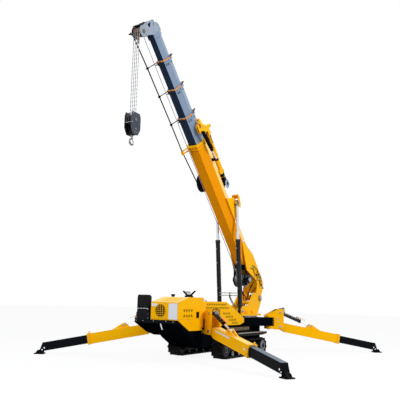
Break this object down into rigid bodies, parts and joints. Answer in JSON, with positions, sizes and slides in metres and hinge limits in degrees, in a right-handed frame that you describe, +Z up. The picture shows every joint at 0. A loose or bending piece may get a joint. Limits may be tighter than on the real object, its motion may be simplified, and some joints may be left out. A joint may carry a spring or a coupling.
{
  "type": "spider crane",
  "caption": "Tracked spider crane with hinged and telescoping outrigger legs, a telescopic boom on a slewing base, a hoist winch and a swivelling hook.",
  "frame": {"origin": "middle of the overall footprint, on the ground", "axes": "+X from the boom's heel towards the bonnet and the hook, +Y to the machine's left, +Z up"},
  "size_m": [8.6858, 7.0598, 8.2092],
  "materials": {
    "yellow": "gloss",
    "black": "gloss",
    "dark_grey": "satin",
    "steel": "satin",
    "chrome": "polished",
    "rubber": "matt",
    "seat": "matt",
    "rope": "satin"
  },
  "bodies": {
    "root": {"chassis": "black", "track_left": "rubber", "track_right": "rubber", "track_frame_left": "dark_grey", "track_frame_right": "dark_grey", "slew_ring": "dark_grey", "bonnet": "yellow", "bonnet_skirt": "yellow", "platform": "black", "seat": "seat", "console": "black", "cover_left": "yellow", "cover_right": "yellow", "cover_lid": "yellow", "step_left": "black", "step_right": "black"},
    "superstructure": {"turntable": "yellow"},
    "boom": {"boom_base": "yellow", "winch_frame": "black", "reel_bracket": "black", "jib_beam": "yellow", "jib_head": "yellow", "jib_cylinder": "black"},
    "winch_drum": {"winch_drum": "rope"},
    "hose_reel": {"hose_reel": "black"},
    "stage_1": {"boom_stage_1": "black"},
    "stage_2": {"boom_stage_2": "black"},
    "stage_3": {"boom_stage_3": "black"},
    "stage_4": {"boom_stage_4": "black", "boom_head": "dark_grey", "head_sheaves": "steel"},
    "luff_barrels": {"luff_barrels": "black"},
    "luff_rods": {"luff_rod_left": "chrome", "luff_rod_right": "chrome"},
    "hang": {"hoist_falls": "rope"},
    "hook_block": {"hook_block": "dark_grey"},
    "hook": {"hook": "steel"},
    "front_left_knuckle": {"front_left_knuckle": "yellow"},
    "front_left_arm": {"front_left_arm": "yellow"},
    "front_left_lift_barrel": {"front_left_lift_barrel": "black"},
    "front_left_lift_rod": {"front_left_lift_rod": "chrome"},
    "front_left_beam": {"front_left_beam": "black"},
    "front_right_knuckle": {"front_right_knuckle": "yellow"},
    "front_right_arm": {"front_right_arm": "yellow"},
    "front_right_lift_barrel": {"front_right_lift_barrel": "black"},
    "front_right_lift_rod": {"front_right_lift_rod": "chrome"},
    "front_right_beam": {"front_right_beam": "black"},
    "rear_left_knuckle": {"rear_left_knuckle": "yellow"},
    "rear_left_arm": {"rear_left_arm": "yellow"},
    "rear_left_lift_barrel": {"rear_left_lift_barrel": "black"},
    "rear_left_lift_rod": {"rear_left_lift_rod": "chrome"},
    "rear_left_beam": {"rear_left_beam": "black"},
    "rear_right_knuckle": {"rear_right_knuckle": "yellow"},
    "rear_right_arm": {"rear_right_arm": "yellow"},
    "rear_right_lift_barrel": {"rear_right_lift_barrel": "black"},
    "rear_right_lift_rod": {"rear_right_lift_rod": "chrome"},
    "rear_right_beam": {"rear_right_beam": "black"}
  },
  "joints": [
    {"name": "slew", "type": "hinge", "parent": "root", "child": "superstructure", "pos_m": [-1.3476, 0, 1], "axis": [0, 0, 1], "continuous": true},
    {"name": "boom_luff", "type": "hinge", "parent": "superstructure", "child": "boom", "pos_m": [-2.0276, 0, 1.557], "axis": [0, -1, 0], "range_deg": [-35.5, 31.5]},
    {"name": "winch_turn", "type": "hinge", "parent": "boom", "child": "winch_drum", "pos_m": [-1.2913, 0, 2.0714], "axis": [0, 1, 0], "continuous": true},
    {"name": "reel_turn", "type": "hinge", "parent": "boom", "child": "hose_reel", "pos_m": [0.5426, 0, 4.7013], "axis": [0, 1, 0], "continuous": true},
    {"name": "telescope", "type": "slide", "parent": "boom", "child": "stage_1", "axis": [0.6884, 0, 0.7254], "range_m": [-0.5, 3.2]},
    {"name": "telescope_2", "type": "slide", "parent": "stage_1", "child": "stage_2", "axis": [0.6884, 0, 0.7254], "range_m": [-0.5, 3.2]},
    {"name": "telescope_3", "type": "slide", "parent": "stage_2", "child": "stage_3", "axis": [0.6884, 0, 0.7254], "range_m": [-0.5, 3.2]},
    {"name": "telescope_4", "type": "slide", "parent": "stage_3", "child": "stage_4", "axis": [0.6884, 0, 0.7254], "range_m": [-0.5, 3.2]},
    {"name": "luff_cylinder", "type": "hinge", "parent": "superstructure", "child": "luff_barrels", "pos_m": [-0.6176, 0, 1.175], "axis": [0, -1, 0], "range_deg": [-33.8, 30]},
    {"name": "luff_rod", "type": "slide", "parent": "luff_barrels", "child": "luff_rods", "axis": [0.0933, 0, 0.9956], "range_m": [-0.85, 0.76]},
    {"name": "hang", "type": "hinge", "parent": "stage_4", "child": "hang", "pos_m": [4.0736, 0, 7.6231], "axis": [0, -1, 0], "range_deg": [-31.5, 35.5]},
    {"name": "hoist", "type": "slide", "parent": "hang", "child": "hook_block", "axis": [0, 0, -1], "range_m": [-1.5, 4.6], "deforming": ["hoist_falls"]},
    {"name": "hook_swivel", "type": "hinge", "parent": "hook_block", "child": "hook", "pos_m": [4.1729, 0, 5.0231], "axis": [0, 0, 1], "continuous": true},
    {"name": "front_left_swing", "type": "hinge", "parent": "root", "child": "front_left_knuckle", "pos_m": [1.6524, 0.6, 0.85], "axis": [0, 0, 1], "range_deg": [-6, 70]},
    {"name": "front_left_lift", "type": "hinge", "parent": "front_left_knuckle", "child": "front_left_arm", "pos_m": [1.8199, 0.8843, 0.72], "axis": [-0.8616, 0.5075, 0], "range_deg": [-30, 0]},
    {"name": "front_left_cylinder", "type": "hinge", "parent": "front_left_knuckle", "child": "front_left_lift_barrel", "pos_m": [1.8199, 0.8843, 1.14], "axis": [-0.8616, 0.5075, 0], "range_deg": [-27, 1]},
    {"name": "front_left_rod", "type": "slide", "parent": "front_left_lift_barrel", "child": "front_left_lift_rod", "axis": [0.459, 0.7792, -0.4268], "range_m": [-0.215, 0.005]},
    {"name": "front_left_extend", "type": "slide", "parent": "front_left_arm", "child": "front_left_beam", "axis": [0.4984, 0.8461, -0.1891], "range_m": [-1.05, 0]},
    {"name": "front_right_swing", "type": "hinge", "parent": "root", "child": "front_right_knuckle", "pos_m": [1.6524, -0.6, 0.85], "axis": [0, 0, -1], "range_deg": [-6, 70]},
    {"name": "front_right_lift", "type": "hinge", "parent": "front_right_knuckle", "child": "front_right_arm", "pos_m": [1.8199, -0.8843, 0.72], "axis": [0.8616, 0.5075, 0], "range_deg": [-30, 0]},
    {"name": "front_right_cylinder", "type": "hinge", "parent": "front_right_knuckle", "child": "front_right_lift_barrel", "pos_m": [1.8199, -0.8843, 1.14], "axis": [0.8616, 0.5075, 0], "range_deg": [-27, 1]},
    {"name": "front_right_rod", "type": "slide", "parent": "front_right_lift_barrel", "child": "front_right_lift_rod", "axis": [0.459, -0.7792, -0.4268], "range_m": [-0.215, 0.005]},
    {"name": "front_right_extend", "type": "slide", "parent": "front_right_arm", "child": "front_right_beam", "axis": [0.4984, -0.8461, -0.1891], "range_m": [-1.05, 0]},
    {"name": "rear_left_swing", "type": "hinge", "parent": "root", "child": "rear_left_knuckle", "pos_m": [-1.9676, 0.6, 0.85], "axis": [0, 0, -1], "range_deg": [-45, 35]},
    {"name": "rear_left_lift", "type": "hinge", "parent": "rear_left_knuckle", "child": "rear_left_arm", "pos_m": [-2.1819, 0.8509, 0.72], "axis": [-0.7604, -0.6494, 0], "range_deg": [-30, 0]},
    {"name": "rear_left_cylinder", "type": "hinge", "parent": "rear_left_knuckle", "child": "rear_left_lift_barrel", "pos_m": [-2.1819, 0.8509, 1.14], "axis": [-0.7604, -0.6494, 0], "range_deg": [-28.5, 1]},
    {"name": "rear_left_rod", "type": "slide", "parent": "rear_left_lift_barrel", "child": "rear_left_lift_rod", "axis": [-0.6021, 0.705, -0.3748], "range_m": [-0.218, 0.005]},
    {"name": "rear_left_extend", "type": "slide", "parent": "rear_left_arm", "child": "rear_left_beam", "axis": [-0.6391, 0.7483, -0.1781], "range_m": [-1.05, 0]},
    {"name": "rear_right_swing", "type": "hinge", "parent": "root", "child": "rear_right_knuckle", "pos_m": [-1.9676, -0.6, 0.85], "axis": [0, 0, 1], "range_deg": [-45, 35]},
    {"name": "rear_right_lift", "type": "hinge", "parent": "rear_right_knuckle", "child": "rear_right_arm", "pos_m": [-2.1819, -0.8509, 0.72], "axis": [0.7604, -0.6494, 0], "range_deg": [-30, 0]},
    {"name": "rear_right_cylinder", "type": "hinge", "parent": "rear_right_knuckle", "child": "rear_right_lift_barrel", "pos_m": [-2.1819, -0.8509, 1.14], "axis": [0.7604, -0.6494, 0], "range_deg": [-28.5, 1]},
    {"name": "rear_right_rod", "type": "slide", "parent": "rear_right_lift_barrel", "child": "rear_right_lift_rod", "axis": [-0.6021, -0.705, -0.3748], "range_m": [-0.218, 0.005]},
    {"name": "rear_right_extend", "type": "slide", "parent": "rear_right_arm", "child": "rear_right_beam", "axis": [-0.6391, -0.7483, -0.1781], "range_m": [-1.05, 0]}
  ],
  "couplings": [
    {"joint": "telescope_2", "follows": "telescope", "ratio": 1},
    {"joint": "telescope_3", "follows": "telescope", "ratio": 1},
    {"joint": "telescope_4", "follows": "telescope", "ratio": 1},
    {"joint": "luff_cylinder", "follows": "boom_luff", "ratio": 0.95},
    {"joint": "luff_rod", "follows": "boom_luff", "m_per_rad": 1.37},
    {"joint": "hang", "follows": "boom_luff", "ratio": -1},
    {"joint": "front_left_cylinder", "follows": "front_left_lift", "ratio": 0.885},
    {"joint": "front_left_rod", "follows": "front_left_lift", "m_per_rad": 0.4063},
    {"joint": "front_right_cylinder", "follows": "front_right_lift", "ratio": 0.885},
    {"joint": "front_right_rod", "follows": "front_right_lift", "m_per_rad": 0.4063},
    {"joint": "rear_left_cylinder", "follows": "rear_left_lift", "ratio": 0.939},
    {"joint": "rear_left_rod", "follows": "rear_left_lift", "m_per_rad": 0.4113},
    {"joint": "rear_right_cylinder", "follows": "rear_right_lift", "ratio": 0.939},
    {"joint": "rear_right_rod", "follows": "rear_right_lift", "m_per_rad": 0.4113}
  ]
}
